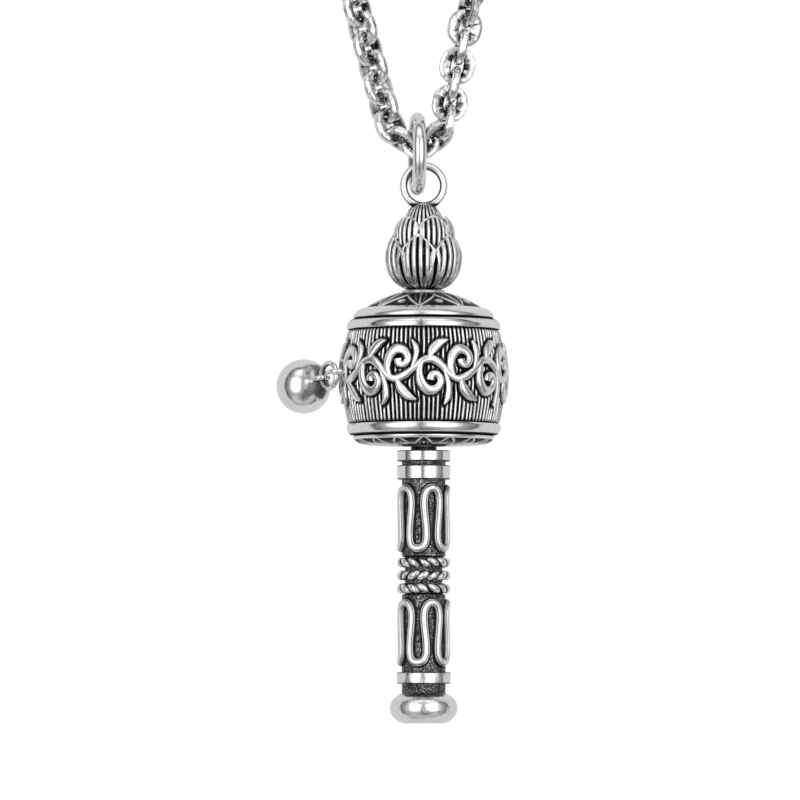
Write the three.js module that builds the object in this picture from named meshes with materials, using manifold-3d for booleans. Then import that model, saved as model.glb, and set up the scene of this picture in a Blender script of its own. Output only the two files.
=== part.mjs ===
// A silver prayer wheel pendant on its necklace chain: a handle with wire ornament, a hollow drum that
// spins on a spindle and carries a ball weight, a lotus finial, a jump ring and the lowest links of the
// chain. Millimetres, +Z up. The origin is on the line that the two chain strands hang from, straight
// above the spindle.
import * as THREE from "three";
import { mergeVertices } from "three/addons/utils/BufferGeometryUtils.js";
import Module from "manifold-3d";

const wasm = await Module();
wasm.setup();

// ---- Driving dimensions ----
// Heights are measured from the flat underside of the foot; the hang line is HANG_HEIGHT above it.
const HANG_HEIGHT = 63.4;
const GAP = 0.04; // between pieces that are stacked or soldered
const ROUND = 24; // facets round the handle and the spindle
const DRUM_ROUND = 32; // facets round the drum

const SPINDLE_RADIUS = 0.8;
const BORE_RADIUS = 0.88; // running clearance round the spindle
const SPINDLE_FOOT = 1.0;
const SPINDLE_TOP = 44.3;

const FOOT_TOP = 2.59;
const FOOT_RADIUS = 2.94;
const CORE_RADIUS = 1.88;
const WAIST_RADIUS = 1.62;
const CORE_TOP = 23.83;
const COLLAR_RADIUS = 2.3;
const ROPE_HEIGHTS = [11.74, 12.85, 14.0];
const MEANDER_WIRE = 0.19;
const MEANDER_RADIUS = 2.15;
const MEANDER_WAVES = 5;

const DRUM_FLOOR = 24.2;
const DRUM_LID_TOP = 37.68;
const BARREL_BOTTOM = 26.28;
const BARREL_TOP = 34.47;
const BARREL_END_RADIUS = 6.5;
const BARREL_BULGE = 0.55;
const SHELL_BORE = 5.8;
const SPIGOT_RADIUS = 6.2;
const PLUG_RADIUS = 5.74;
const BUSH_RADIUS = 1.25;

const EYE_HEIGHT = 47.03;
const EYE_RING = { radius: 1.76, wire: 0.34 };
const JUMP_RING = { radius: 3.05, wire: 0.6 };
const JUMP_HEIGHT = 49.83;
const JUMP_OFFSET = -0.56;
const JUMP_TURN = 4;

const EYELET_HEIGHT = 30.67;
const EYELET_BEARING = 190; // degrees round the drum from +X
const EYELET = { radius: 0.72, wire: 0.22 };
const WEIGHT_BEARING = 126; // the way that the weight points, in degrees from +X
const WEIGHT_DROOP = 12; // degrees below level
const WEIGHT_LINK = { radius: 1.1, wire: 0.24 };
const BALL_EYE = { radius: 0.6, wire: 0.22 };
const BALL_RADIUS = 2.38;

const LINK_WIRE = 0.375;
const LINK_WIDTH = 3.0;
const LINK_LENGTH = 3.36;

// ---- Materials ----
const silver = new THREE.MeshStandardMaterial({ color: 0xd9d9d6, roughness: 0.18, metalness: 1 });
const aged = new THREE.MeshStandardMaterial({ color: 0x8f8f8c, roughness: 0.35, metalness: 1 });
const dark = new THREE.MeshStandardMaterial({ color: 0x2e2e2f, roughness: 0.6, metalness: 1 });
const brass = new THREE.MeshStandardMaterial({ color: 0xb89a55, roughness: 0.35, metalness: 1 });
const paper = new THREE.MeshStandardMaterial({ color: 0xe6d9b8, roughness: 0.9, metalness: 0 });

// ---- Helpers ----
const radians = THREE.MathUtils.degToRad;

function solidOf(geometry) {
  const bare = geometry.clone();
  bare.deleteAttribute("normal");
  bare.deleteAttribute("uv");
  const merged = mergeVertices(bare, 1e-4);
  return new wasm.Manifold(
    new wasm.Mesh({
      numProp: 3,
      vertProperties: new Float32Array(merged.attributes.position.array),
      triVerts: new Uint32Array(merged.index.array),
    }),
  );
}

function geometryOf(solid) {
  const mesh = solid.getMesh();
  const geometry = new THREE.BufferGeometry();
  geometry.setAttribute("position", new THREE.BufferAttribute(mesh.vertProperties, 3));
  geometry.setIndex(new THREE.BufferAttribute(mesh.triVerts, 1));
  return geometry;
}

const cut = (geometry, tool) => geometryOf(solidOf(geometry).subtract(solidOf(tool)));

function node(name, geometry, material) {
  const mesh = new THREE.Mesh(geometry, material);
  mesh.name = name;
  return mesh;
}

// Turns a [radius, height] outline round the Z axis. It runs up the outside and down the inside.
function turned(outline, segments = ROUND) {
  const points = outline.map(([radius, height]) => new THREE.Vector2(radius, height));
  return new THREE.LatheGeometry(points, segments).rotateX(Math.PI / 2);
}

const tube = (inner, outer, low, high, segments = ROUND) =>
  turned([[inner, low], [outer, low], [outer, high], [inner, high], [inner, low]], segments);

// A flat band with its outer edges rounded off by a chamfer.
function band(inner, outer, low, high, edge, segments = ROUND) {
  return turned(
    [
      [inner, low],
      [outer - edge, low],
      [outer, low + edge],
      [outer, high - edge],
      [outer - edge, high],
      [inner, high],
      [inner, low],
    ],
    segments,
  );
}

// A wire ring lying flat in the XY plane.
const wireRing = ({ radius, wire }, sides = 8, segments = 24) =>
  new THREE.TorusGeometry(radius, wire, sides, segments);

// Moves every vertex by a function of its position.
function shaped(geometry, move) {
  const position = geometry.getAttribute("position");
  const point = new THREE.Vector3();
  for (let i = 0; i < position.count; i++) {
    point.fromBufferAttribute(position, i);
    move(point);
    position.setXYZ(i, point.x, point.y, point.z);
  }
  return geometry;
}

// ---- Handle ----
function footKnob() {
  return turned([
    [0, 0],
    [2.1, 0],
    [2.6, 0.16],
    [2.86, 0.6],
    [FOOT_RADIUS, 1.2],
    [2.86, 1.85],
    [2.55, 2.35],
    [2.1, FOOT_TOP],
    [BORE_RADIUS, FOOT_TOP],
    [BORE_RADIUS, SPINDLE_FOOT - 0.1],
    [0, SPINDLE_FOOT - 0.1],
  ]);
}

function handleCore() {
  const [low, , high] = ROPE_HEIGHTS;
  const reach = 0.5; // of the waist past the outer rope rings
  return turned([
    [BORE_RADIUS, FOOT_TOP + GAP],
    [CORE_RADIUS, FOOT_TOP + GAP],
    [CORE_RADIUS, low - reach],
    [WAIST_RADIUS, low - reach + 0.1],
    [WAIST_RADIUS, high + reach - 0.1],
    [CORE_RADIUS, high + reach],
    [CORE_RADIUS, CORE_TOP],
    [BORE_RADIUS, CORE_TOP],
    [BORE_RADIUS, FOOT_TOP + GAP],
  ]);
}

// A twisted ring, oval in section and taller than it is thick.
function ropeRing(height) {
  const ring = { radius: WAIST_RADIUS + GAP + 0.31, wire: 0.31 };
  return wireRing(ring, 6, 24).scale(1, 1, 1.3).translate(0, 0, height);
}

// One wire bent into a closed row of loops round the core. The loops are widest at their ends.
function meander(low, high) {
  const half = 180 / MEANDER_WAVES; // degrees from a top bend to the next bottom bend
  const end = 0.62; // height of a bend
  const side = [
    [0, high],
    [0.36, high - 0.16],
    [0.54, high - end],
    [0.47, (low + high) / 2],
    [0.37, low + end],
    [0.56, low + 0.16],
  ]; // [share of half a wave, height]
  const turn = side.concat(
    [[1, low]],
    side.slice(1).reverse().map(([share, height]) => [2 - share, height]),
  );
  const points = [];
  for (let wave = 0; wave < MEANDER_WAVES; wave++) {
    for (const [share, height] of turn) {
      const bearing = radians(-66 + (2 * wave + share) * half);
      const x = MEANDER_RADIUS * Math.cos(bearing);
      const y = MEANDER_RADIUS * Math.sin(bearing);
      points.push(new THREE.Vector3(x, y, height));
    }
  }
  const path = new THREE.CatmullRomCurve3(points, true);
  return new THREE.TubeGeometry(path, 16 * MEANDER_WAVES, MEANDER_WIRE, 5, true);
}

function addHandle(group) {
  const collarBore = CORE_RADIUS + GAP;
  group.add(
    node("foot_knob", footKnob(), silver),
    node("spindle", turned([
      [0, SPINDLE_FOOT],
      [SPINDLE_RADIUS, SPINDLE_FOOT],
      [SPINDLE_RADIUS, SPINDLE_TOP],
      [0, SPINDLE_TOP],
    ]), silver),
    node("handle_core", handleCore(), dark),
    node("lower_collar", band(collarBore, 2.34, 3.45, 4.44, 0.08), silver),
    node("upper_collar", band(collarBore, COLLAR_RADIUS, 21.28, 22.5, 0.14), silver),
    node("top_collar", band(collarBore, COLLAR_RADIUS, 22.87, CORE_TOP, 0.14), silver),
    node("lower_meander", meander(5.18, 10.55), silver),
    node("upper_meander", meander(15.12, 20.6), silver),
    node("thrust_washer", tube(BORE_RADIUS, 1.12, CORE_TOP + 0.02, DRUM_FLOOR - GAP), dark),
  );
  ROPE_HEIGHTS.forEach((height, i) => {
    group.add(node(`rope_ring_${i + 1}`, ropeRing(height), aged));
  });
}

// ---- Lotus finial ----
// A turned cup whose rim, above the notches, is pulled down between the petals.
function petalCup(outline, petals, notch, bearing) {
  return shaped(turned(outline, 6 * petals), (point) => {
    if (point.z <= notch) return;
    const angle = Math.atan2(point.y, point.x) - radians(bearing);
    const rise = Math.abs(Math.cos((petals * angle) / 2)) ** 0.75;
    point.z = notch + (point.z - notch) * rise;
  });
}

const LOWER_PETALS = 6;
const MIDDLE_PETALS = 5;
const FRONT = -94; // bearing of the petal that faces the front

const lowerPetals = () => petalCup([
  [BORE_RADIUS, 37.86],
  [1.33, 37.86],
  [2.0, 38.25],
  [2.75, 38.95],
  [3.25, 39.85],
  [3.4, 40.7],
  [3.24, 41.6],
  [2.82, 42.6],
  [2.62, 42.6],
  [2.8, 41.6],
  [2.75, 40.5],
  [BORE_RADIUS, 40.3],
  [BORE_RADIUS, 37.86],
], LOWER_PETALS, 41.4, FRONT);

const middlePetals = () => petalCup([
  [BORE_RADIUS, 40.36],
  [1.6, 40.42],
  [2.2, 41.0],
  [2.5, 41.9],
  [2.52, 42.6],
  [2.4, 43.4],
  [2.08, 44.2],
  [1.93, 44.2],
  [2.02, 43.4],
  [2.0, 42.5],
  [BORE_RADIUS, 42.4],
  [BORE_RADIUS, 40.36],
], MIDDLE_PETALS, 43.3, FRONT + 180 / MIDDLE_PETALS);

const BUD_OUTLINE = [
  [1.6, 42.46],
  [1.86, 43.0],
  [1.88, 43.6],
  [1.76, 44.3],
  [1.42, 44.9],
  [0.85, 45.35],
  [0, 45.52],
];

const bud = () => turned([
  [BORE_RADIUS, 42.46],
  ...BUD_OUTLINE,
  [0, SPINDLE_TOP + 0.1],
  [BORE_RADIUS, SPINDLE_TOP + 0.1],
  [BORE_RADIUS, 42.46],
]);

// The eye is a wire ring that ends where it is soldered to the bud.
function eyeRing() {
  const ring = wireRing(EYE_RING, 8, 28).rotateX(Math.PI / 2).translate(0, 0, EYE_HEIGHT);
  const seat = turned([[0, 42.4], ...BUD_OUTLINE.map(([r, h]) => [r && r + GAP, h + GAP])]);
  return cut(ring, seat);
}

function addFinial(group) {
  group.add(
    node("finial_lower_petals", lowerPetals(), aged),
    node("finial_middle_petals", middlePetals(), aged),
    node("finial_bud", bud(), aged),
    node("eye_ring", eyeRing(), silver),
  );
}

// ---- Drum ----
const BARREL_STEPS = 8;

// Outer wall of the barrel, from the bottom up.
function barrelWall(grow = 0) {
  const wall = [];
  for (let i = 0; i <= BARREL_STEPS; i++) {
    const share = i / BARREL_STEPS;
    const radius = BARREL_END_RADIUS + BARREL_BULGE * Math.sin(Math.PI * share) + grow;
    wall.push([radius, BARREL_BOTTOM + share * (BARREL_TOP - BARREL_BOTTOM)]);
  }
  return wall;
}

const drumShell = () => turned([
  [SHELL_BORE, 25.55],
  [SPIGOT_RADIUS, 25.55],
  [SPIGOT_RADIUS, BARREL_BOTTOM],
  ...barrelWall(),
  [SPIGOT_RADIUS, BARREL_TOP],
  [SPIGOT_RADIUS, 35.3],
  [SHELL_BORE, 35.3],
  [SHELL_BORE, 25.55],
], DRUM_ROUND);

const bottomRim = () => turned([
  [SPIGOT_RADIUS + GAP, 25.5],
  [6.5, 25.5],
  [6.66, 25.7],
  [6.74, 26.0],
  [6.7, BARREL_BOTTOM - GAP],
  [SPIGOT_RADIUS + GAP, BARREL_BOTTOM - GAP],
  [SPIGOT_RADIUS + GAP, 25.5],
], DRUM_ROUND);

const topRim = () => turned([
  [SPIGOT_RADIUS + GAP, BARREL_TOP + GAP],
  [6.68, BARREL_TOP + GAP],
  [6.7, 34.75],
  [6.58, 35.05],
  [6.34, 35.34],
  [SPIGOT_RADIUS + GAP, 35.34],
  [SPIGOT_RADIUS + GAP, BARREL_TOP + GAP],
], DRUM_ROUND);

const drumLid = () => turned([
  [BUSH_RADIUS + GAP, 36.9],
  [4.6, 35.6],
  [5.2, 34.7],
  [PLUG_RADIUS, 34.7],
  [PLUG_RADIUS, 35.38],
  [6.08, 35.4],
  [6.12, 35.55],
  [5.95, 35.85],
  [5.55, 36.1],
  [5.1, 36.2],
  [4.3, 36.66],
  [3.3, 37.14],
  [2.4, 37.46],
  [1.9, 37.56],
  [1.88, DRUM_LID_TOP],
  [BUSH_RADIUS + GAP, DRUM_LID_TOP],
  [BUSH_RADIUS + GAP, 36.9],
], DRUM_ROUND);

const drumBase = () => turned([
  [BUSH_RADIUS + GAP, DRUM_FLOOR],
  [1.94, DRUM_FLOOR],
  [1.94, 24.4],
  [5.3, 24.4],
  [5.75, 24.55],
  [6.12, 24.9],
  [6.25, 25.35],
  [PLUG_RADIUS, 25.4],
  [PLUG_RADIUS, 26.2],
  [5.2, 26.2],
  [4.9, 25.1],
  [BUSH_RADIUS + GAP, 25.1],
  [BUSH_RADIUS + GAP, DRUM_FLOOR],
], DRUM_ROUND);

// A strip of printed paper wound round the core tube.
function prayerScroll() {
  const turns = 3;
  const steps = 18 * turns;
  const [inner, outer, thickness] = [1.7, 4.9, 0.8];
  const spiral = (extra) => Array.from({ length: steps + 1 }, (_, i) => {
    const radius = inner + ((outer - inner) * i) / steps + extra;
    const angle = (2 * Math.PI * turns * i) / steps;
    return new THREE.Vector2(radius * Math.cos(angle), radius * Math.sin(angle));
  });
  const outline = new THREE.Shape([...spiral(thickness), ...spiral(0).reverse()]);
  return new THREE.ExtrudeGeometry(outline, { depth: 7.8, bevelEnabled: false })
    .translate(0, 0, 26.5);
}

const aim = (bearing) => new THREE.Vector3(Math.cos(radians(bearing)), Math.sin(radians(bearing)), 0);
const barrelRadiusAt = (height) => {
  const share = (height - BARREL_BOTTOM) / (BARREL_TOP - BARREL_BOTTOM);
  return BARREL_END_RADIUS + BARREL_BULGE * Math.sin(Math.PI * share);
};
const eyeletCentre = aim(EYELET_BEARING)
  .multiplyScalar(barrelRadiusAt(EYELET_HEIGHT) + 0.58)
  .setZ(EYELET_HEIGHT);

function drumEyelet() {
  const ring = wireRing(EYELET, 6, 20).translate(...eyeletCentre.toArray());
  const wall = turned([[0, BARREL_BOTTOM], ...barrelWall(GAP), [0, BARREL_TOP]], DRUM_ROUND);
  return cut(ring, wall);
}

function addDrum(group) {
  const tubeBore = BUSH_RADIUS + GAP;
  group.add(
    node("drum_shell", drumShell(), aged),
    node("drum_bottom_rim", bottomRim(), silver),
    node("drum_top_rim", topRim(), silver),
    node("drum_lid", drumLid(), aged),
    node("drum_base", drumBase(), silver),
    node("lower_bush", tube(BORE_RADIUS, BUSH_RADIUS, DRUM_FLOOR, 26.9), brass),
    node("upper_bush", tube(BORE_RADIUS, BUSH_RADIUS, 34.1, DRUM_LID_TOP), brass),
    node("scroll_tube", tube(tubeBore, 1.55, 26.3, 34.6), brass),
    node("prayer_scroll", prayerScroll(), paper),
    node("drum_eyelet", drumEyelet(), silver),
  );
}

// ---- Weight: eyelet, link, ball eye and ball hang in line, each ring square to the next ----
const touching = (a, b) => a.wire + b.wire + 0.03;
const linkNear = EYELET.radius - touching(EYELET, WEIGHT_LINK);
const linkCentre = linkNear + WEIGHT_LINK.radius;
const linkFar = linkCentre + WEIGHT_LINK.radius;
const ballEyeCentre = linkFar - touching(WEIGHT_LINK, BALL_EYE) + BALL_EYE.radius;
const ballCentre = ballEyeCentre + 0.35 + BALL_RADIUS;

// A group whose +X axis runs from the eyelet's centre to the ball.
function addWeight(group) {
  const line = new THREE.Group();
  line.position.copy(eyeletCentre);
  line.rotation.set(0, radians(WEIGHT_DROOP), radians(WEIGHT_BEARING), "ZYX");
  const ball = new THREE.SphereGeometry(BALL_RADIUS, 20, 12);
  const eye = wireRing(BALL_EYE, 6, 18);
  const seat = new THREE.SphereGeometry(BALL_RADIUS + GAP, 20, 12);
  seat.translate(ballCentre - ballEyeCentre, 0, 0);
  const link = node("weight_link", wireRing(WEIGHT_LINK, 6, 22).rotateX(Math.PI / 2), silver);
  link.position.x = linkCentre;
  const ballEye = node("weight_ball_eye", cut(eye, seat), silver);
  ballEye.position.x = ballEyeCentre;
  const weight = node("weight_ball", ball, silver);
  weight.position.x = ballCentre;
  line.add(link, ballEye, weight);
  group.add(line);
}

// ---- Jump ring and chain ----
function addJumpRing(group) {
  const ring = node("jump_ring", wireRing(JUMP_RING, 8, 28).rotateY(Math.PI / 2), silver);
  ring.position.set(JUMP_OFFSET, 0, JUMP_HEIGHT);
  ring.rotation.z = radians(JUMP_TURN);
  group.add(ring);
}

// An oval link: a torus in the XZ plane, turned half a step and pulled apart along Z.
function chainLink() {
  const segments = 14;
  const radius = LINK_WIDTH / 2 - LINK_WIRE;
  const stretch = (LINK_LENGTH - LINK_WIDTH) / 2;
  const torus = new THREE.TorusGeometry(radius, LINK_WIRE, 6, segments);
  torus.rotateZ(Math.PI / segments).rotateX(Math.PI / 2);
  return shaped(torus, (point) => {
    point.z += Math.sign(point.z) * stretch;
  });
}

// Points [x, height] where the lowest links hook into each other, from the left strand to the right.
const CHAIN_BEND = [
  [-3.25, 53.11],
  [-2.6, 51.54],
  [-1.05, 50.6],
  [0.55, 50.88],
  [1.75, 51.9],
  [2.12, 53.42],
];
const HANG_LEFT = -6.03;
const HANG_RIGHT = 4.1;
const STRAND_LINKS = 6; // between the hang line and the bend, on each side
// Turn of each link round its own length, from the left end to the right end.
const LINK_TURNS = [
  -45, 45, -45, 45, -45, 45, -45, 40,
  -65, 20, -52,
  70, -8, 82, -5, 80, -20, 60, -40,
];

function chainHooks() {
  const strand = ([x, height], hang) => Array.from({ length: STRAND_LINKS + 2 }, (_, i) => [
    x + ((hang - x) * i) / STRAND_LINKS,
    height + ((HANG_HEIGHT - height) * i) / STRAND_LINKS,
  ]);
  const left = strand(CHAIN_BEND[0], HANG_LEFT).reverse();
  const right = strand(CHAIN_BEND.at(-1), HANG_RIGHT);
  return [...left, ...CHAIN_BEND.slice(1, -1), ...right];
}

function addChain(group) {
  const hooks = chainHooks();
  const last = LINK_TURNS.length - 1;
  LINK_TURNS.forEach((turn, i) => {
    const [[x0, h0], [x1, h1]] = [hooks[i], hooks[i + 1]];
    const name = { 0: "chain_end_left", [last]: "chain_end_right" }[i];
    const link = node(name ?? `chain_link_${String(i).padStart(2, "0")}`, chainLink(), silver);
    link.position.set((x0 + x1) / 2, 0, (h0 + h1) / 2);
    link.rotation.set(0, Math.atan2(x0 - x1, h0 - h1), radians(turn), "YXZ");
    group.add(link);
  });
}

// ---- Assembly ----
const pendant = new THREE.Group();
pendant.position.z = -HANG_HEIGHT;
addHandle(pendant);
addFinial(pendant);
addDrum(pendant);
addWeight(pendant);
addJumpRing(pendant);
addChain(pendant);

const prayerWheel = new THREE.Group();
prayerWheel.add(pendant);

export default prayerWheel;
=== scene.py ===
import math

import bmesh
import bpy
import numpy as np
from mathutils import Matrix, Vector, noise


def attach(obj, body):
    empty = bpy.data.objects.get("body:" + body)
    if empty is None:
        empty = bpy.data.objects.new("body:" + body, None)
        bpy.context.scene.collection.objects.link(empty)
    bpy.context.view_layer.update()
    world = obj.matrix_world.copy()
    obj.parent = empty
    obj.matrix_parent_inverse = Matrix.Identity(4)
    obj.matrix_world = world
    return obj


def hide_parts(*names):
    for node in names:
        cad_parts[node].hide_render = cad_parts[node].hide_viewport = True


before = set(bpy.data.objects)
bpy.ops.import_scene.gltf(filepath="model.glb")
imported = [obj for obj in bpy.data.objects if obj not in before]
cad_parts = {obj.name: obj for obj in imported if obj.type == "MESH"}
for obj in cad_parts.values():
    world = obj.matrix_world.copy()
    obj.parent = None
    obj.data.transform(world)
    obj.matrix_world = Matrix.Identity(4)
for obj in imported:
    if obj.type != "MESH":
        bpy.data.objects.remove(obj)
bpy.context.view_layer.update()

# The looks of a silver prayer wheel pendant. Sizes are millimetres, and heights are measured from the
# foot's flat underside, HANG below the frame's origin, until place() and build() turn them into metres.
# A bearing is an angle from the front (-Y), positive to the right. A recess value is how dark a spot is
# painted: 0 is polished, 1 is black. It stands for soot, and in places for painted shade.

MM = 0.001
HANG = 63.4
TAU = 2 * math.pi
WELD = 2e-7  # metres


# ---- Camera ----
SENSOR_MM = 36.0
VIEW_HEIGHT = 70.0  # at the pendant
CAMERA_DISTANCE = 620.0
CAMERA_DROP = math.radians(2.5)  # the camera looks up by this
VIEW_CENTRE = (-2.07, 0.0, 28.26)


def place(x, y, height):
    """The frame's own metres of a spot on or round the pendant."""
    return Vector((x * MM, y * MM, (height - HANG) * MM))


def add_camera():
    data = bpy.data.cameras.new("view")
    data.sensor_width = SENSOR_MM
    data.lens = SENSOR_MM * CAMERA_DISTANCE / VIEW_HEIGHT
    data.clip_start = 0.01
    data.clip_end = 10
    camera = bpy.data.objects.new("view", data)
    bpy.context.scene.collection.objects.link(camera)
    back = Vector((0, -math.cos(CAMERA_DROP), -math.sin(CAMERA_DROP))) * CAMERA_DISTANCE * MM
    camera.location = place(*VIEW_CENTRE) + back
    camera.rotation_euler = (-back).to_track_quat("-Z", "Y").to_euler()
    bpy.context.scene.camera = camera


# ---- Materials ----
class Nodes:
    """Adds nodes to one node tree, with short calls. A value may be another node's output."""

    def __init__(self, tree, coords):
        self.tree = tree
        self.coords = self.add("TexCoord").outputs[coords]

    def link(self, start, end):
        self.tree.links.new(start, end)

    def add(self, kind, values=None, **settings):
        node = self.tree.nodes.new("ShaderNode" + kind)
        for name, setting in settings.items():
            setattr(node, name, setting)
        for socket, value in (values or {}).items():
            if isinstance(value, bpy.types.NodeSocket):
                self.link(value, node.inputs[socket])
            else:
                node.inputs[socket].default_value = value
        return node

    def noise(self, scale, detail, rough, stretch=None, turn=(0, 0, 0)):
        spot = self.coords
        if stretch:
            spot = self.add("Mapping", {"Vector": spot, "Scale": stretch, "Rotation": turn}).outputs["Vector"]
        values = {"Vector": spot, "Scale": scale, "Detail": detail, "Roughness": rough}
        return self.add("TexNoise", values).outputs["Fac"]

    def attribute(self, name):
        return self.add("Attribute", attribute_name=name).outputs["Fac"]

    def math(self, operation, a, b, clamp=False):
        return self.add("Math", {0: a, 1: b}, operation=operation, use_clamp=clamp).outputs[0]

    def ramp(self, value, low, high, out_low=0.0, out_high=1.0):
        ends = {"From Min": low, "From Max": high, "To Min": out_low, "To Max": out_high}
        return self.add("MapRange", {"Value": value, **ends}).outputs["Result"]

    def mix(self, share, a, b):
        colours = {socket: (*value, 1.0) if isinstance(value, tuple) else value
                   for socket, value in (("A", a), ("B", b))}
        return self.add("Mix", {"Factor": share, **colours}, data_type="RGBA").outputs["Result"]

    def along(self, direction):
        """The share of the coordinates' own direction that points along another."""
        values = {0: self.coords, 1: direction}
        return self.add("VectorMath", values, operation="DOT_PRODUCT").outputs["Value"]

    def bump(self, height, strength, distance, after=None):
        values = {"Height": height, "Strength": strength, "Distance": distance}
        if after is not None:
            values["Normal"] = after
        return self.add("Bump", values).outputs["Normal"]


def new_material(name):
    material = bpy.data.materials.new(name)
    material.use_nodes = True
    n = Nodes(material.node_tree, "Object")
    n.material = material
    n.shader = material.node_tree.nodes["Principled BSDF"]
    return n


def silver(name, bright=(0.95, 0.95, 0.935), dark=(0.005, 0.005, 0.0055), shine=0.1, matt=0.5,
           blot=0.5, grain=0.1, fine=7000, bias=0.0, dents=0.0):
    """Silver whose recess attribute, broken up by noise, turns it from polished to blackened.

    shine and matt are the roughness where it is polished and where it is black. blot and grain are how much
    broad and fine noise breaks up the border between the two, and bias adds to the recess everywhere.
    """
    n = new_material(name)
    blots = n.noise(900, 5, 0.6)
    grains = n.noise(fine, 3, 0.6)
    scratches = n.noise(900, 3, 0.5, stretch=(1, 14, 1), turn=(0.4, 0.5, 0.2))
    broken = n.math("MULTIPLY", n.math("SUBTRACT", blots, 0.5), blot)
    flecks = n.ramp(grains, 0.36, 0.64, -grain / 2, grain / 2)
    depth = n.math("ADD", n.attribute("recess"), bias)
    share = n.math("ADD", n.math("ADD", depth, broken), flecks, clamp=True)
    worn = n.mix(n.ramp(scratches, 0.35, 0.75), bright, tuple(c * 0.86 for c in bright))
    n.link(n.mix(share, worn, dark), n.shader.inputs["Base Color"])
    n.shader.inputs["Metallic"].default_value = 1.0
    smudge = n.ramp(blots, 0.3, 0.75, 0.0, 0.1)
    gloss = n.ramp(share, 0.0, 1.0, shine, matt)
    n.link(n.math("ADD", gloss, smudge), n.shader.inputs["Roughness"])
    pits = n.math("MULTIPLY", grains, n.ramp(share, 0.0, 1.0, 0.04, 1.0))
    first = n.bump(pits, 0.6, 0.00005)
    surface = n.bump(scratches, 0.03, 0.00003, first)
    if dents:
        surface = n.bump(n.noise(1300, 2, 0.4), dents, 0.0003, surface)
    n.link(surface, n.shader.inputs["Normal"])
    return n.material


def plain_metal(name, colour, rough):
    n = new_material(name)
    turned = n.noise(1500, 4, 0.6, stretch=(1, 1, 30))
    tone = n.noise(400, 4, 0.5)
    n.link(n.mix(tone, colour, tuple(c * 0.7 for c in colour)), n.shader.inputs["Base Color"])
    n.shader.inputs["Metallic"].default_value = 1.0
    n.link(n.ramp(turned, 0.2, 0.8, rough - 0.08, rough + 0.12), n.shader.inputs["Roughness"])
    n.link(n.bump(turned, 0.2, 0.00003), n.shader.inputs["Normal"])
    return n.material


def scroll_paper():
    n = new_material("scroll_paper")
    fibres = n.noise(2500, 6, 0.7, stretch=(1, 1, 4))
    stain = n.noise(150, 4, 0.6)
    n.link(n.mix(stain, (0.82, 0.74, 0.55), (0.62, 0.52, 0.34)), n.shader.inputs["Base Color"])
    n.link(n.ramp(fibres, 0.2, 0.8, 0.75, 0.95), n.shader.inputs["Roughness"])
    n.link(n.bump(fibres, 0.4, 0.00005), n.shader.inputs["Normal"])
    return n.material


POLISHED = silver("polished_silver", shine=0.09, blot=0.2, grain=0.08)
WIRE = silver("wire_silver", dark=(0.012, 0.012, 0.0125), shine=0.12, blot=0.5, grain=0.3, fine=4000,
              dents=0.5)
WORN = silver("worn_silver", shine=0.17, blot=0.34, grain=0.24, fine=4500, dents=0.2)
SATIN = silver("satin_silver", (0.99, 0.99, 0.975), shine=0.34, blot=0.12, grain=0.1)
RELIEF = silver("relief_silver", (0.97, 0.97, 0.955), shine=0.16, matt=0.45, blot=0.2, grain=0.08)
BLACKENED = silver("blackened_silver", dark=(0.024, 0.024, 0.025), matt=0.34, blot=0.34, grain=0.75,
                   fine=9000)
SOOTY = silver("sooty_silver", dark=(0.008, 0.008, 0.0085), matt=0.5, bias=0.95)
BRASS = plain_metal("brass", (0.3, 0.23, 0.11), 0.36)
STEEL = plain_metal("spindle_silver", (0.7, 0.7, 0.69), 0.25)
PAPER = scroll_paper()


# ---- Mesh helpers ----
def grid_faces(rows, columns, wrap_rows=False, wrap_columns=False):
    """Quads of a grid whose vertices are stored row by row."""
    row_count = rows if wrap_rows else rows - 1
    column_count = columns if wrap_columns else columns - 1
    r = np.arange(row_count)[:, None]
    c = np.arange(column_count)[None, :]
    r2 = (r + 1) % rows
    c2 = (c + 1) % columns
    quads = np.stack(np.broadcast_arrays(
        r * columns + c, r * columns + c2, r2 * columns + c2, r2 * columns + c), axis=-1)
    return quads.reshape(-1, 4).tolist()


def build(name, points, faces, body, material, stands_for=(), recess=None, sharp=32.0, slot=None):
    """Makes one piece from points in millimetres, welds it and turns its faces outwards.

    recess is a value for each point. Edges sharper than sharp, in degrees, stay sharp.
    """
    points = np.asarray(points, dtype=float)
    mesh = bpy.data.meshes.new(name)
    coords = points * MM
    coords[:, 2] -= HANG * MM
    mesh.from_pydata(coords.tolist(), [], faces)
    if recess is not None:
        layer = mesh.attributes.new("recess", "FLOAT", "POINT")
        layer.data.foreach_set("value", np.clip(np.asarray(recess, dtype=np.float32), 0, 2))
    shape = bmesh.new()
    shape.from_mesh(mesh)
    bmesh.ops.remove_doubles(shape, verts=shape.verts, dist=WELD)
    loose = [v for v in shape.verts if not v.link_faces]
    bmesh.ops.delete(shape, geom=loose, context="VERTS")
    bmesh.ops.recalc_face_normals(shape, faces=shape.faces)
    shape.to_mesh(mesh)
    shape.free()
    mesh.polygons.foreach_set("use_smooth", [True] * len(mesh.polygons))
    mesh.set_sharp_from_angle(angle=math.radians(sharp))
    mesh.materials.append(material)
    piece = bpy.data.objects.new(name, mesh)
    bpy.context.scene.collection.objects.link(piece)
    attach(piece, body)
    if stands_for:
        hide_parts(*stands_for)


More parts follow.
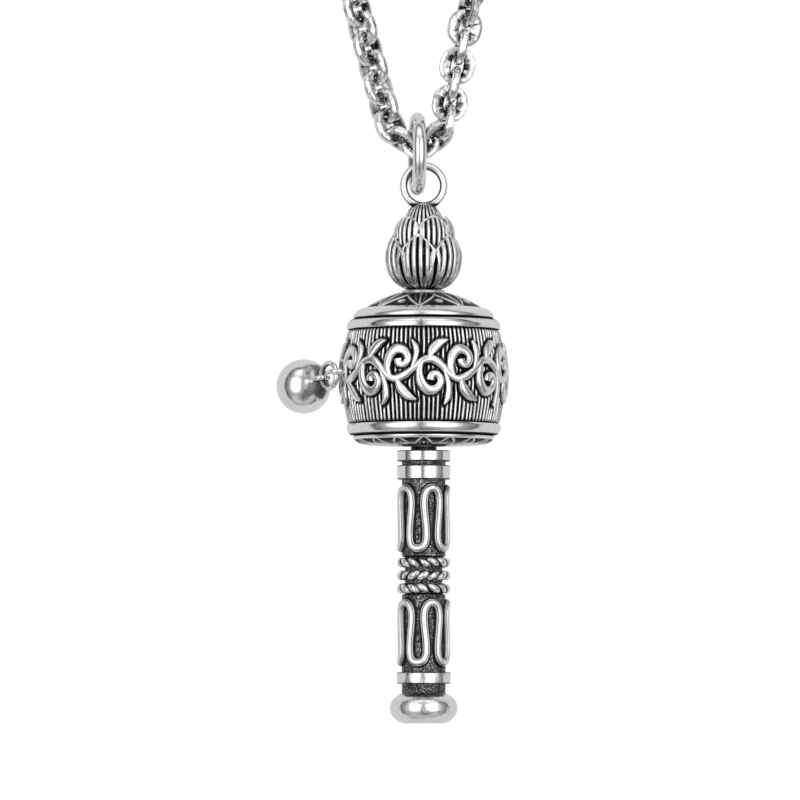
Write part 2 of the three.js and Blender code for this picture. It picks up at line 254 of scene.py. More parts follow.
def filleted(outline, steps=5):
    """Points of an outline whose corners (radius, height, fillet) are rounded. No fillet: a sharp corner."""
    out = []
    for i, corner in enumerate(outline):
        here = np.array(corner[:2], dtype=float)
        fillet = corner[2] if len(corner) > 2 else 0
        if not fillet or i in (0, len(outline) - 1):
            out.append(here)
            continue
        before = np.array(outline[i - 1][:2], dtype=float)
        after = np.array(outline[i + 1][:2], dtype=float)
        to_before, to_after = before - here, after - here
        size_before, size_after = np.linalg.norm(to_before), np.linalg.norm(to_after)
        reach = min(fillet, size_before * 0.49, size_after * 0.49)
        start = here + to_before / size_before * reach
        end = here + to_after / size_after * reach
        for k in range(steps + 1):
            t = k / steps
            out.append((1 - t) ** 2 * start + 2 * t * (1 - t) * here + t * t * end)
    return np.array(out)


def smooth_line(points, steps):
    """A Catmull-Rom line through the points."""
    points = np.asarray(points, dtype=float)
    count = len(points)
    out = []
    for i in range(count - 1):
        p = [points[min(max(i + k, 0), count - 1)] for k in (-1, 0, 1, 2)]
        for k in range(steps):
            t = k / steps
            out.append(0.5 * (2 * p[1] + (p[2] - p[0]) * t
                              + (2 * p[0] - 5 * p[1] + 4 * p[2] - p[3]) * t * t
                              + (3 * p[1] - p[0] - 3 * p[2] + p[3]) * t ** 3))
    out.append(points[-1])
    return np.array(out)


def spaced(points, steps, shares):
    """Radii and heights at shares of the length of a smooth line, and that length."""
    line = smooth_line(points, steps)
    lengths = np.concatenate([[0], np.cumsum(np.linalg.norm(np.diff(line, axis=0), axis=1))])
    spots = shares * lengths[-1]
    return np.interp(spots, lengths, line[:, 0]), np.interp(spots, lengths, line[:, 1]), lengths[-1]


def to_the_right(radius, height):
    """The radius and height parts of the direction to the right of an outline."""
    slope_r, slope_h = np.gradient(radius), np.gradient(height)
    size = np.hypot(slope_r, slope_h)
    return slope_h / size, -slope_r / size


def clamp(value):
    """A value kept between 0 and 1."""
    return np.clip(value, 0, 1)


def ridge(distance, width, power=2):
    """1 on a line, and falling to 0 at about width from it."""
    return np.exp(-(distance / width) ** power)


def revolved(outline, segments, closed=False):
    """Points and faces of an outline of (radius, height) turned round the axis."""
    outline = np.asarray(outline, dtype=float)
    angles = np.arange(segments) / segments * TAU
    radius, height = outline[:, 0:1], outline[:, 1:2]
    x = radius * np.cos(angles)
    y = radius * np.sin(angles)
    z = np.broadcast_to(height, x.shape)
    points = np.stack([x, y, z], axis=-1).reshape(-1, 3)
    return points, grid_faces(len(outline), segments, closed, True)


def turned(name, outline, body, material, stands_for, segments=128, closed=False, recess=None, **more):
    """A turned piece. recess is a function of radius and height."""
    outline = np.asarray(outline, dtype=float)
    points, faces = revolved(outline, segments, closed)
    depth = None
    if recess is not None:
        depth = np.repeat([recess(r, h) for r, h in outline], segments)
    build(name, points, faces, body, material, stands_for, depth, **more)


def swept(path, section, ups, scale=None):
    """Points and faces of a section swept round a closed path. ups gives the section's second direction."""
    path = np.asarray(path, dtype=float)
    ahead = np.roll(path, -1, axis=0) - np.roll(path, 1, axis=0)
    ahead /= np.linalg.norm(ahead, axis=1)[:, None]
    ups = np.asarray(ups, dtype=float)
    ups = ups - ahead * np.sum(ups * ahead, axis=1)[:, None]
    ups /= np.linalg.norm(ups, axis=1)[:, None]
    sides = np.cross(ahead, ups)
    section = np.asarray(section, dtype=float)
    if section.ndim == 2:
        section = np.broadcast_to(section, (len(path), *section.shape))
    if scale is not None:
        section = section * np.asarray(scale)[:, None, None]
    points = (path[:, None, :] + sides[:, None, :] * section[:, :, 0:1]
              + ups[:, None, :] * section[:, :, 1:2])
    return points.reshape(-1, 3), grid_faces(len(path), section.shape[1], True, True)


def round_section(radius, count):
    angles = (np.arange(count) + 0.5) / count * TAU
    return radius * np.column_stack([np.cos(angles), np.sin(angles)])


def merged(parts):
    """One list of points and faces from several."""
    points, faces, start = [], [], 0
    for part_points, part_faces in parts:
        points.append(np.asarray(part_points, dtype=float))
        faces.extend([[i + start for i in face] for face in part_faces])
        start += len(part_points)
    return np.concatenate(points), faces


def on_cylinder(bearing, height, radius):
    """Points on a round wall, at bearings in radians."""
    bearing = np.asarray(bearing, dtype=float)
    x = radius * np.sin(bearing)
    y = -radius * np.cos(bearing)
    return np.stack([x, y, np.broadcast_to(height, x.shape)], axis=-1)


def value_noise(points, scale, seed=0.0):
    """The same smooth noise in every run. The seed moves it."""
    offset = Vector((seed, seed * 1.7, seed * 0.6))
    return np.array([noise.noise(Vector(p) * scale + offset) for p in points])


# ---- Handle ----
CORE_RADIUS = 1.9
WAIST_RADIUS = 1.64
CORE_ENDS = (2.61, 23.8)
CORE_BORE = 0.85
HAMMER_DEPTH = 0.04
ROPES = (11.76, 12.9, 14.03)
ROPE_RADIUS = 1.9
STRAND_RADIUS = 0.28
MEANDER_RADIUS = 2.1
MEANDER_WAVES = 5
MEANDER_START = math.radians(51)  # the first top bend is this far to the left of the front
LOWER_MEANDER = (5.3, 10.52)
UPPER_MEANDER = (15.24, 20.54)


def foot_knob():
    """A rounded button, with soot where it meets the core."""
    rim = smooth_line([(0.9, 0.07), (1.4, 0.03), (1.7, 0.0), (2.1, 0.12), (2.54, 0.42), (2.85, 0.86),
                       (2.94, 1.38), (2.81, 1.9), (2.55, 2.22), (2.28, 2.42), (1.98, 2.58)], 8)
    outline = np.concatenate([[(0.0, 0.09)], rim, [(1.84, 2.6), (1.0, 2.6), (0.0, 2.6)]])
    turned("foot_knob_skin", outline, "pendant", WORN, ["foot_knob"], segments=144,
           recess=lambda r, h: min(1.0, max(0.0, (2.16 - r) * 5)) if h > 2.2 else 0.0)


def handle_core():
    """The hammered core, waisted behind the rope rings."""
    beyond, row_gap = 0.55, 0.09
    low, high = ROPES[0] - beyond, ROPES[2] + beyond
    bottom, top = CORE_ENDS
    corners = [(CORE_BORE, bottom), (CORE_RADIUS, bottom, 0.05), (CORE_RADIUS, low, 0.1),
               (WAIST_RADIUS, low + 0.1, 0.05), (WAIST_RADIUS, high - 0.1, 0.05), (CORE_RADIUS, high, 0.1),
               (CORE_RADIUS, top, 0.05), (CORE_BORE, top)]
    outline = filleted(corners)
    dense = [outline[0]]
    for before, after in zip(outline, outline[1:]):
        count = max(1, round(math.dist(before, after) / row_gap))
        dense += [before + (after - before) * (k + 1) / count for k in range(count)]
    dense.append(outline[0])
    points, faces = revolved(dense, 140)
    radius = np.hypot(points[:, 0], points[:, 1])
    skin = radius > WAIST_RADIUS - 0.14  # the rest is inside other pieces
    lumps = np.zeros(len(points))
    lumps[skin] = value_noise(points[skin], 4.6) * 0.5 + value_noise(points[skin], 10.0, 5.0) * 0.8
    points[:, :2] *= (1 + lumps * HAMMER_DEPTH / radius)[:, None]
    # painted shade along the wires: a dark contact shadow on the core beside them
    bearing = np.arctan2(points[:, 0], -points[:, 1])
    gap = np.full(len(points), np.inf)
    for ends in (LOWER_MEANDER, UPPER_MEANDER):
        for wire_bearing, wire_height in zip(*meander_line(*ends)):
            beside = (bearing - wire_bearing + math.pi) % TAU - math.pi
            gap = np.minimum(gap, np.hypot(beside * CORE_RADIUS, points[:, 2] - wire_height))
    soot_and_shade = clamp((0.46 - gap) / 0.08)
    # the blackening wears off the lumps near the wires' ends and the collars
    rubbed = sum(ridge(points[:, 2] - height, 0.4) for height in (3.3, 5.2, 10.9, 14.9, 20.9))
    rubbed = rubbed * clamp(value_noise(points, 1.5, 9.0) * 2.5 + 0.4)
    recess = 1.0 - clamp(lumps) * (0.35 + 1.1 * rubbed) + soot_and_shade
    build("handle_core_skin", points, faces, "pendant", BLACKENED, ["handle_core"], recess, sharp=60)


def collar(name, radius, low, high, node, material=POLISHED):
    """A band with eased edges that have soot on them."""
    inner, ease, soot_and_shade = 1.6, 0.05, 0.08
    corners = [(inner, low), (radius - ease, low, 0.04), (radius, low + 0.06, ease),
               (radius, high - 0.06, ease), (radius - ease, high, 0.04), (inner, high), (inner, low)]
    outline = filleted(corners, 4)[:-1]
    turned(name, outline, "pendant", material, [node], closed=True,
           recess=lambda r, h: 0.8 if h < low + soot_and_shade or h > high - soot_and_shade or r < radius - 0.2 else 0.0)


def meander_line(low, high):
    """Bearings and heights of a closed row of swelling loops."""
    half = math.pi / MEANDER_WAVES
    height = high - low
    side = [(0.0, 1.0), (0.24, 0.985), (0.43, 0.93), (0.545, 0.84), (0.565, 0.7), (0.5, 0.52), (0.43, 0.34),
            (0.42, 0.18), (0.5, 0.085), (0.68, 0.02)]
    turn = side + [(1.0, 0.0)] + [(2 - share, rise) for share, rise in side[1:][::-1]]
    corners = []
    for wave in range(MEANDER_WAVES):
        for share, rise in turn:
            corners.append(((2 * wave + share) * half, low + rise * height))
    line = smooth_line([*corners, (corners[0][0] + TAU, corners[0][1])], 7)[:-1]
    return line[:, 0] - MEANDER_START, line[:, 1]


def meander(name, low, high, node):
    """A flat wire with stepped edges, bent into a closed row of loops."""
    bearing, rise = meander_line(low, high)
    path = on_cylinder(bearing, rise, MEANDER_RADIUS)
    ups = on_cylinder(bearing, 0.0, 1.0)
    # half widths of the foot, the groove and the crown, and the crown's height
    width, ledge, crest, top = 0.31, 0.245, 0.195, 0.2
    half_section = [(width, -0.22), (width, 0.0), (width - 0.02, 0.045), (ledge + 0.012, 0.05), (ledge, 0.01),
                    (ledge - 0.03, 0.02), (crest + 0.012, top - 0.06), (crest - 0.03, top),
                    (crest * 0.6, top + 0.025), (crest * 0.25, top + 0.042)]
    section = half_section + [(-side, rise) for side, rise in half_section[::-1]]
    points, faces = swept(path, section, ups)
    # the groove is blackened; the side of the wire's foot is darkened as painted shade, a contact shadow
    # against the core
    half_depth = [1.0, 0.5, 0.0, 0.1, 1.0, 1.0, 0.15, 0.0, 0.0, 0.0]
    depth = half_depth + half_depth[::-1]
    build(name, points, faces, "pendant", SATIN, [node], np.tile(depth, len(path)), sharp=40)


def rope_ring(name, height, node, lean):
    """Two strands twisted round each other and bent into a ring. lean is the way they twist, 1 or -1."""
    parts = []
    twists, steps, offset = 7, 288, 0.15
    bearing = np.arange(steps) / steps * TAU
    middle = on_cylinder(bearing, height, ROPE_RADIUS)
    for strand in (0, 1):
        phase = lean * twists * bearing + strand * math.pi
        path = on_cylinder(bearing, 0.0, ROPE_RADIUS + offset * np.cos(phase))
        path[:, 2] = height + offset * np.sin(phase)
        lumps = 0.93 + 0.24 * np.cos(phase) + 0.4 * value_noise(path, 1.3, float(strand))
        parts.append(swept(path, round_section(STRAND_RADIUS, 14), path - middle, np.clip(lumps, 0.74, 1.12)))
    points, faces = merged(parts)
    radius = np.hypot(points[:, 0], points[:, 1])
    middle = np.column_stack([points[:, :2] * (ROPE_RADIUS / radius)[:, None], np.full(len(points), height)])
    out = np.linalg.norm(points - middle, axis=1)
    recess = clamp((0.4 - out) / 0.08) + clamp((2.0 - radius) * 2)
    build(name, points, faces, "pendant", RELIEF, [node], recess, sharp=50)


# ---- Lotus finial ----
LOTUS_FRONT = math.radians(-10)  # bearing of a lower petal's middle
EYE_RING_RADIUS, EYE_RING_WIRE, EYE_RING_HEIGHT = 1.76, 0.335, 47.03
JUMP_RING_RADIUS, JUMP_RING_WIRE = 3.05, 0.6
JUMP_RING_CENTRE, JUMP_RING_TURN = (-0.56, 0, 49.83), math.radians(4)


def petal_tier(name, stands_for, outline, count, bearing, grooves, thick, lean, shoulder, arch, waist,
               depth=0.12, soot_and_shade=0.0, **more):
    """Petals that stand round the axis. outline is the middle line of a petal, from its foot to its tip.

    A petal is full up to its shoulder, a share of its length, then a pointed arch. waist is how much
    narrower its foot is, and lean is how far its sides come in at the tip. Each petal is a closed shell.
    """
    rows, columns = 64, 61
    size = rows * columns
    along = 1 - (1 - np.linspace(0, 1, rows)) ** 1.3
    radius, height, length = spaced(outline, 12, along)
    out_r, out_h = (part[:, None] for part in to_the_right(radius, height))
    half = math.pi / count
    over = clamp((along - shoulder) / (1 - shoulder))
    width = half * (1 - over ** arch[0]) ** arch[1] * (1 - waist * (1 - clamp(along / 0.7)) ** 1.1)
    width[-1] = half * 0.02
    radius, height, width = radius[:, None], height[:, None], width[:, None]
    # a runs from 0 to 1 up the petal, and s from -1 to 1 across it
    a, s = np.meshgrid(along, np.linspace(-1, 1, columns), indexing="ij")
    # how far a spot is inside the petal's sides, and inside its whole edge
    side_gap = (1 - np.abs(s)) * width * radius
    gap = np.minimum(side_gap, (1 - a) * length * 0.75)
    inside = clamp((gap - 0.2) / 0.1) * clamp((a - 0.02) * 20)
    position = s * width / half * (grooves + 0.6) / 2
    groove = ridge(position - np.round(position), 0.23, 4) * inside
    # crowned across, with reeds between the grooves and a raised rim
    crown = 0.2 * (1 - s ** 2) * clamp(a * 3)
    reeds = -0.045 * np.cos(TAU * position) * inside
    lift = crown + reeds - depth * groove + 0.06 * ridge(gap - 0.09, 0.09)
    outer = (radius + lift * out_r, height + lift * out_h)
    inner = (radius - thick * out_r + crown * 0.6, height - thick * out_h)
    skin = grid_faces(rows, columns)
    border = (list(range(columns)) + [r * columns + columns - 1 for r in range(1, rows)]
              + [(rows - 1) * columns + c for c in range(columns - 2, -1, -1)]
              + [r * columns for r in range(rows - 2, 0, -1)])
    shell = (skin + [[i + size for i in face[::-1]] for face in skin]
             + [[j, i, i + size, j + size] for i, j in zip(border, border[1:] + border[:1])])
    petals = []
    for k in range(count):
        angle = bearing + k * TAU / count + s * width
        sides = [on_cylinder(angle, h, r - lean * s ** 2 * a).reshape(-1, 3) for r, h in (outer, inner)]
        petals.append((np.concatenate(sides), shell))
    points, faces = merged(petals)
    dark = np.maximum(clamp(groove * 1.8 - 0.1), clamp((0.1 - a) * 9))
    dark = np.maximum(dark, clamp((0.09 - side_gap) / 0.05) * clamp((shoulder - a) * 8))
    recess = np.tile(np.concatenate([dark.reshape(-1), np.full(size, 0.85)]), count) + soot_and_shade
    build(name, points, faces, "pendant", RELIEF, stands_for, recess, sharp=70, **more)


def finial():
    """Two tiers of petals, with a dark tier and a dark cup that close the gaps between them."""
    low_arch = (1.0, 0.66)
    lower = [(1.25, 37.92), (1.75, 38.12), (2.45, 38.62), (2.98, 39.4), (3.2, 40.3), (3.2, 41.1), (3.0, 41.9),
             (2.66, 42.62)]
    petal_tier("lotus_lower", ["finial_lower_petals"], lower, 6, LOTUS_FRONT, grooves=5, thick=0.3, lean=0.12,
               shoulder=0.74, arch=low_arch, waist=0.46)
    between = [(r - 0.2, h) for r, h in lower[:-2]] + [(2.98, 41.2)]
    # the tier behind the lower petals is 0.3 darker all over, as painted shade from the petals in front
    petal_tier("lotus_between", (), between, 6, LOTUS_FRONT + math.pi / 6, grooves=4, thick=0.15, lean=0.1,
               shoulder=0.8, arch=low_arch, waist=0.1, soot_and_shade=0.3, slot="aged_silver")
    cup = smooth_line([(1.0, 37.9), (1.3, 37.95), (2.0, 38.4), (2.65, 39.1), (2.85, 40.0), (2.85, 40.9),
                       (2.7, 41.6), (2.3, 41.7), (1.2, 41.6)], 8)
    turned("lotus_cup", np.concatenate([[(0.0, 37.9)], cup, [(0.0, 41.6)]]), "pendant", BLACKENED, (),
           recess=lambda r, h: 1.0, slot="aged_silver")
    middle = [(1.5, 40.6), (1.95, 41.0), (2.36, 41.7), (2.5, 42.5), (2.44, 43.2), (2.18, 43.82), (1.8, 44.24)]
    petal_tier("lotus_middle", ["finial_middle_petals"], middle, 5, LOTUS_FRONT + math.pi / 5, grooves=6,
               thick=0.25, lean=0.08, shoulder=0.725, arch=(1.4, 0.5), waist=0.25, depth=0.1)


def lotus_bud():
    """A ribbed bud that closes under the eye ring, with three inner petals wrapped round its top."""
    foot, wrap_foot, tip = 42.4, 44.0, 45.54
    ribs = 28
    wrap_turn, wrap_half = math.radians(66), math.radians(62)
    line = smooth_line([(1.75, foot), (1.85, 43.0), (1.82, 43.7), (1.66, 44.3), (1.3, 44.9), (0.85, 45.3),
                        (0.4, 45.49), (0.0, tip)], 12)
    points, faces = revolved(np.concatenate([[(0.0, foot)], line]), 336)
    radius = np.hypot(points[:, 0], points[:, 1])
    bearing = np.arctan2(points[:, 0], -points[:, 1])
    fade = clamp((radius - 0.3) * 1.6)
    groove = clamp(0.25 - 1.3 * np.cos(bearing * ribs)) * fade
    # each inner petal has a raised edge and a dark line beside it
    turn = (bearing + wrap_turn) % (TAU / 3) - TAU / 6
    rise = clamp((points[:, 2] - wrap_foot) / (tip - wrap_foot))
    gap = (np.abs(turn) - wrap_half * np.sqrt(1 - rise ** 2)) * radius
    hem = ridge(gap, 0.08) * fade * (rise > 0)
    shade = ridge(gap - 0.17, 0.07) * fade * (rise > 0)
    groove = clamp(groove * (1 - hem) + shade)
    points[:, :2] *= (1 + (0.05 * hem - 0.08 * groove) / np.maximum(radius, 0.2))[:, None]
    build("lotus_bud", points, faces, "pendant", RELIEF, ["finial_bud"], groove * 1.4, sharp=60)


def wire_ring(name, radius, wire, centre, normal, body, node, segments=112, sides=24, soot_and_shade=None):
    """A round ring of wire. normal is the axis through its hole, and the last argument a function of a spot
    that darkens it.
    """
    normal = Vector(normal).normalized()
    first = normal.orthogonal().normalized()
    second = normal.cross(first)
    angles = np.arange(segments) / segments * TAU
    spokes = np.outer(np.cos(angles), first) + np.outer(np.sin(angles), second)
    path = np.array(centre) + spokes * radius
    points, faces = swept(path, round_section(wire, sides), spokes)
    out = np.linalg.norm(points - np.array(centre), axis=1) - radius
    # the inside of the wire is darker: patina and painted shade
    recess = np.clip((-0.3 - out / wire) * 2, 0, 0.8)
    if soot_and_shade is not None:
        recess = np.maximum(recess, [soot_and_shade(p) for p in points])
    build(name, points, faces, body, POLISHED, [node], recess, sharp=60)


def eye_and_jump_rings():
    wire_ring("eye_ring_wire", EYE_RING_RADIUS, EYE_RING_WIRE, (0, 0, EYE_RING_HEIGHT), (0, 1, 0), "pendant",
              "eye_ring", soot_and_shade=lambda p: min(1.0, max(0.0, (45.62 - p[2]) * 5)))
    wire_ring("jump_ring_wire", JUMP_RING_RADIUS, JUMP_RING_WIRE, JUMP_RING_CENTRE,
              (math.cos(JUMP_RING_TURN), math.sin(JUMP_RING_TURN), 0), "jump_ring", "jump_ring",
              segments=160, sides=32)


# ---- Drum ----
BARREL_LOW, BARREL_HIGH = 26.1, 34.42
BARREL_RADIUS, BARREL_BULGE, BARREL_BORE = 6.5, 0.55, 5.82
RIBS, RIB_HEIGHT = 106, 0.1
RIM_BORE = 6.22
SPINDLE_BORE = 1.32  # in the lid and the base
ENGRAVING = 0.12
UNITS = 8  # of the ornament
UNIT_RADIUS = 7.05
UNIT_WIDTH = TAU * UNIT_RADIUS / UNITS
EYELET_BEARING = math.radians(-80)
EYELET_HEIGHT = 30.67


def barrel_radius(height):
    share = clamp((np.asarray(height, dtype=float) - BARREL_LOW) / (BARREL_HIGH - BARREL_LOW))
    return BARREL_RADIUS + BARREL_BULGE * np.sin(math.pi * share)


def ornament_strokes():
    """Lines of (x, height, half width) for one unit of scrolling leaves."""
    broader = 1.16
    strokes = []

    def line(points, widths):
        """points are (x as a share of the unit, height)."""
        smooth = smooth_line([(x * UNIT_WIDTH, height) for x, height in points], 7)
        grid = np.linspace(0, len(widths) - 1, len(smooth))
        half = np.interp(grid, np.arange(len(widths)), widths) * broader
        strokes.append(np.column_stack([smooth, half]))

    curl = [0.12, 0.24, 0.33, 0.36, 0.3, 0.26, 0.24, 0.24, 0.3]
    leaf = [0.1, 0.34, 0.3, 0.05]
    # wandering stem
    line([(0.0, 30.9), (0.12, 31.45), (0.27, 31.5), (0.4, 30.95), (0.52, 30.2), (0.66, 29.85), (0.82, 30.15),
          (1.0, 30.9)], [0.2, 0.26, 0.3, 0.26, 0.22, 0.26, 0.28, 0.2])
    # curl that grows down from the crest of the stem
    line([(0.1, 31.4), (0.05, 30.5), (0.08, 29.5), (0.19, 28.85), (0.32, 29.0), (0.38, 29.6), (0.33, 30.2),
          (0.24, 30.15), (0.22, 29.72)], curl)
    # curl that grows up from the trough
    line([(0.6, 29.9), (0.54, 30.8), (0.57, 31.8), (0.68, 32.4), (0.81, 32.25), (0.87, 31.65), (0.82, 31.1),
          (0.73, 31.15), (0.71, 31.55)], curl)
    # leaves over the crest and under the trough
    line([(0.2, 31.6), (0.26, 32.35), (0.37, 32.95), (0.5, 33.2)], leaf)
    line([(0.7, 29.75), (0.76, 29.0), (0.87, 28.35), (1.0, 28.0)], leaf)
    # small tendrils
    line([(0.42, 30.75), (0.5, 29.4), (0.5, 28.3), (0.44, 27.6)], [0.08, 0.2, 0.24, 0.06])
    line([(0.93, 30.7), (1.0, 31.9), (0.99, 32.6), (0.93, 33.2)], [0.08, 0.2, 0.22, 0.05])
    return strokes


def stroke_mesh(stroke):
    """A bevelled, flat-topped bar along a stroke, wrapped on the barrel."""
    xy, half = stroke[:, :2], stroke[:, 2]
    ahead = np.gradient(xy, axis=0)
    ahead /= np.linalg.norm(ahead, axis=1)[:, None]
    side = np.column_stack([-ahead[:, 1], ahead[:, 0]])
    # across the stroke: share of the half width, height over the barrel, and recess. The recess on the
    # bevelled sides is painted shade, as if they lay in shadow; at the foot it meets the dark ground.
    right = [(0.3, 0.395, 0.0), (0.72, 0.36, 0.05), (1.0, 0.26, 0.25), (1.12, 0.1, 0.9), (1.25, -0.12, 1.0)]
    section = [(-share, lift, soot_and_shade) for share, lift, soot_and_shade in right[::-1]] + [(0.0, 0.4, 0.0)] + right
    # the relief is low beside the eyelet, where the weight's link needs the room
    low_height, low_reach, slope, lowest = EYELET_HEIGHT - 0.3, 0.8, 0.7, 0.25
    rows, columns = len(xy), len(section)
    points = np.zeros((rows, columns, 3))
    for c, (share, lift, _) in enumerate(section):
        spot = xy + side * (half * share)[:, None]
        bearing = spot[:, 0] / UNIT_RADIUS
        beside = (bearing - EYELET_BEARING + math.pi) % TAU - math.pi
        reach = np.hypot(beside * UNIT_RADIUS, spot[:, 1] - low_height)
        radius = barrel_radius(spot[:, 1]) + lift * np.clip((reach - low_reach) / slope, lowest, 1)
        points[:, c] = on_cylinder(bearing, spot[:, 1], radius)
    faces = grid_faces(rows, columns, False, True)
    faces += [list(range(columns)), [(rows - 1) * columns + c for c in range(columns)][::-1]]
    return points.reshape(-1, 3), faces, np.tile([soot_and_shade for *_, soot_and_shade in section], rows)


def drum():
    """The units of the ornament, and the barrel under them."""
    unit = ornament_strokes()
    start = -0.12 * UNIT_WIDTH
    strokes = [stroke + (start + k * UNIT_WIDTH, 0, 0) for k in range(UNITS) for stroke in unit]
    bars = [stroke_mesh(stroke) for stroke in strokes]
    points, faces = merged([bar[:2] for bar in bars])
    recess = np.concatenate([bar[2] for bar in bars])
    build("drum_ornament", points, faces, "drum", RELIEF, (), recess, sharp=45, slot="polished_silver")
    barrel(np.concatenate(strokes))


def barrel(samples):
    """The ribbed wall. Its ribs sink into a dark ground close to the ornament."""
    columns = RIBS * 10
    around = TAU * UNIT_RADIUS
    heights = np.concatenate([[BARREL_LOW - 0.5, BARREL_LOW],
                              np.linspace(BARREL_LOW + 0.05, BARREL_HIGH - 0.05, 72),
                              [BARREL_HIGH, BARREL_HIGH + 0.5]])
    bearing = np.arange(columns) / columns * TAU
    # how far each spot is from the ornament, where that is near
    near, far = 1.1, 9.0
    gap = np.full((len(heights), columns), far)
    for x, h, half in samples:
        across = (bearing * UNIT_RADIUS - x + around / 2) % around - around / 2
        rows = np.where(np.abs(heights - h) < near)[0]
        cols = np.where(np.abs(across) < near)[0]
        block = np.hypot(across[cols][None, :], (heights[rows] - h)[:, None]) - half
        sub = np.ix_(rows, cols)
        gap[sub] = np.minimum(gap[sub], block)
    wobble = value_noise(np.column_stack([np.cos(bearing), np.sin(bearing), 0 * bearing]), 9)
    middle, reach = (BARREL_LOW + BARREL_HIGH) / 2, (BARREL_HIGH - BARREL_LOW) / 2
    rows, darkness = [], []
    for h, row_gap in zip(heights, gap):
        ripple = np.cos(bearing * RIBS + wobble * 1.2 + 0.25 * math.sin(h * 1.3))
        # the ribs end beside the ornament and just short of the rims
        ribbed = clamp((row_gap - 0.1) / 0.2) * clamp((reach - abs(h - middle) - 0.02) / 0.2)
        rise = RIB_HEIGHT * ((np.clip(ripple * 1.1 + 0.1, -1, 1.2) + 0.1) * ribbed - (1 - ribbed))
        rows.append(on_cylinder(bearing, h, barrel_radius(h) + rise))
        darkness.append(1 - clamp(ripple * 2.6 - 0.3) * ribbed)
    rows += [on_cylinder(bearing, h, BARREL_BORE) for h in (heights[-1], heights[0])]
    build_rows("drum_barrel", rows, [*darkness, np.ones(2 * columns)], "drum_shell", sharp=70)


def drum_rims():
    def rim(name, corners, low, node, dark):
        start = (RIM_BORE, low)
        turned(name, filleted([start, *corners, start], 6)[:-1], "drum", POLISHED, [node], segments=200,
               closed=True, recess=lambda r, h: 1.0 if dark(r, h) or r < RIM_BORE - 0.01 else 0.0)

    rim("top_rim", [(6.6, 34.4, 0.03), (6.72, 34.46, 0.06), (6.74, 34.75, 0.12), (6.62, 35.05, 0.12),
                    (6.36, 35.27, 0.1), (6.05, 35.3), (6.05, 34.9)],
        34.42, "drum_top_rim", lambda r, h: h < 34.43 or (h > 35.1 and r < 6.45))
    rim("bottom_rim", [(6.4, 25.2, 0.05), (6.6, 25.34, 0.1), (6.72, 25.66, 0.12), (6.74, 25.95, 0.1),
                       (6.66, 26.14, 0.04), (6.5, 26.16, 0.02), (RIM_BORE, 26.16)],
        25.2, "drum_bottom_rim", lambda r, h: h > 26.12 or (h < 25.3 and r < 6.56))


def rounds(outline, columns):
    """Rows of points round the axis, one row for each (radius, height) of an outline."""
    bearing = np.arange(columns) / columns * TAU
    return np.stack([on_cylinder(bearing, height, radius) for radius, height in outline])


def petal_disc(shape, steps, rows, columns, petals, turn=0.0):
    """The grid of a disc of petals, as arrays for its rows and for its columns, and a petal's half angle.

    For each row: the share of the way along the shape, radius and height. For each column: the bearing
    and the angle to the nearest petal's middle.
    """
    along = np.linspace(0, 1, rows)
    radius, height, _ = spaced(shape, steps, along)
    bearing = np.arange(columns) / columns * TAU
    half = math.pi / petals
    angle = np.abs((bearing - turn + half) % (2 * half) - half)
    return along[:, None], radius[:, None], height[:, None], bearing, angle, half


def highest(*reliefs):
    return np.maximum.reduce(np.broadcast_arrays(*reliefs))


def build_rows(name, rows, recess, node, sharp):
    """A closed piece of the drum from rows of points round the axis."""
    faces = grid_faces(len(rows), len(rows[0]), True, True)
    recess = np.concatenate(recess).reshape(-1)
    build(name, np.concatenate(rows), faces, "drum", RELIEF, [node], recess, sharp=sharp)


def lid():
    """The domed lid: a smooth rim, then pointed petals, ribs and dots in a dark ground."""
    columns = 960
    shape = [(5.16, 36.22), (4.6, 36.56), (3.9, 36.92), (3.1, 37.26), (2.4, 37.5), (1.92, 37.62)]
    a, radius, height, bearing, angle, half = petal_disc(shape, 12, 92, columns, 8, math.radians(-4.5))
    # a petal's tip is on the rim, and its sides meet the next petals' sides below the top ring
    meet, outline_end, vein_start, ring_place = 0.72, 0.93, 0.04, 0.97
    dot_place, dot_width, dot_length = 0.3, 0.36, 0.11
    edge = half * clamp(a / meet)
    outline = ridge((angle - edge) * radius, 0.125, 4) * clamp((outline_end - a) * 20)
    vein = ridge(angle * radius, 0.075 + 0.03 * a, 4) * clamp((a - vein_start) * 12)
    dot = ridge(np.hypot((half - angle) * radius / dot_width, (a - dot_place) / dot_length), 1, 4)
    side_rib = ridge((angle - edge * 0.42) * radius, 0.06) * 0.45 * (a > 0.3) * (a < 0.9)
    top_ring = ridge(a - ring_place, 0.02)
    relief = clamp(highest(outline, vein, dot, side_rib, top_ring)) * clamp((a - 0.01) / 0.03)
    lift = (0.13 * relief - 0.05) * clamp(a / 0.05)
    lift[-1] = 0
    dome = on_cylinder(bearing, height + lift * 0.93, radius + lift * 0.35)
    rim_line = filleted([(5.7, 34.8), (5.7, 35.34), (6.02, 35.35, 0.03), (6.14, 35.45, 0.08),
                         (6.12, 35.68, 0.1), (5.86, 36.02, 0.2), (5.45, 36.24, 0.2), (5.22, 36.3, 0.06),
                         shape[0]], 6)
    cap_line = filleted([shape[-1], (1.88, 37.82, 0.05), (1.7, 37.88, 0.05), (SPINDLE_BORE, 37.88),
                         (SPINDLE_BORE, 36.9), (4.6, 35.6), (5.2, 34.8)], 4)
    rim_dark = np.repeat(clamp((35.47 - rim_line[:, 1:]) / 0.06), columns, axis=1)
    dome_dark = 1 - clamp(relief * 1.35 - 0.12)
    cap_dark = np.full((len(cap_line), columns), 0.3)
    build_rows("drum_lid_dome", [*rounds(rim_line, columns), *dome, *rounds(cap_line, columns)],
               [rim_dark, dome_dark, cap_dark], "drum_lid", sharp=60)


